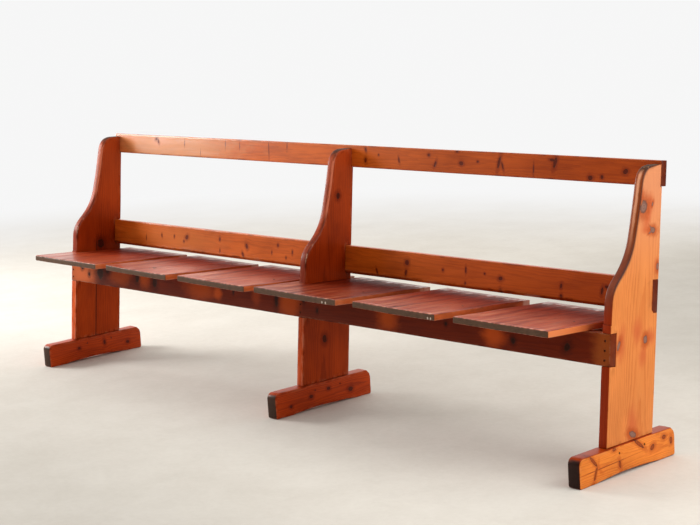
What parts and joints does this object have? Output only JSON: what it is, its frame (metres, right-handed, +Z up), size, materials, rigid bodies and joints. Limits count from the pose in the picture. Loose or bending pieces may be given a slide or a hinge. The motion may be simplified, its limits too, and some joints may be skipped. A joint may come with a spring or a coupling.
{
  "type": "church pew",
  "caption": "Long open-backed church pew: wide plank seat on a front beam, shaped plank standards on runner feet and narrow raked back rails, in stained and varnished softwood",
  "frame": {"origin": "On the floor, at the middle of the overall length and the overall depth of the pew.", "axes": "+X runs along the bench, +Y towards its back, +Z up; people sit down from the -Y side."},
  "size_m": [2.684, 0.4462, 0.8682],
  "materials": {
    "wood_standard": "glossy varnish over red-brown stain",
    "wood_light": "satin varnish, lighter orange pine",
    "wood_foot": "satin varnish",
    "wood_rail": "glossy varnish over orange-brown stain",
    "wood_beam": "glossy varnish over dark red-brown stain",
    "wood_seat": "glossy varnish, worn at the front edge",
    "nail_steel": "dark steel nails"
  },
  "bodies": {
    "root": {"standard_left_front_board": "wood_standard", "standard_left_rear_board": "wood_standard", "standard_middle": "wood_standard", "standard_right": "wood_light", "foot_left": "wood_foot", "foot_middle": "wood_foot", "foot_right": "wood_light", "top_back_rail": "wood_rail", "lower_back_rail": "wood_rail", "front_seat_beam": "wood_beam", "rear_seat_bearer_left": "wood_beam", "rear_seat_bearer_right": "wood_beam", "seat_board_1": "wood_seat", "seat_board_2": "wood_seat", "seat_board_3": "wood_seat", "seat_board_4": "wood_seat", "seat_board_5": "wood_seat", "seat_board_6": "wood_seat", "beam_nails": "nail_steel", "lower_rail_nails": "nail_steel", "top_rail_nails": "nail_steel", "seat_board_nails": "nail_steel", "foot_nails": "nail_steel"}
  },
  "joints": []
}
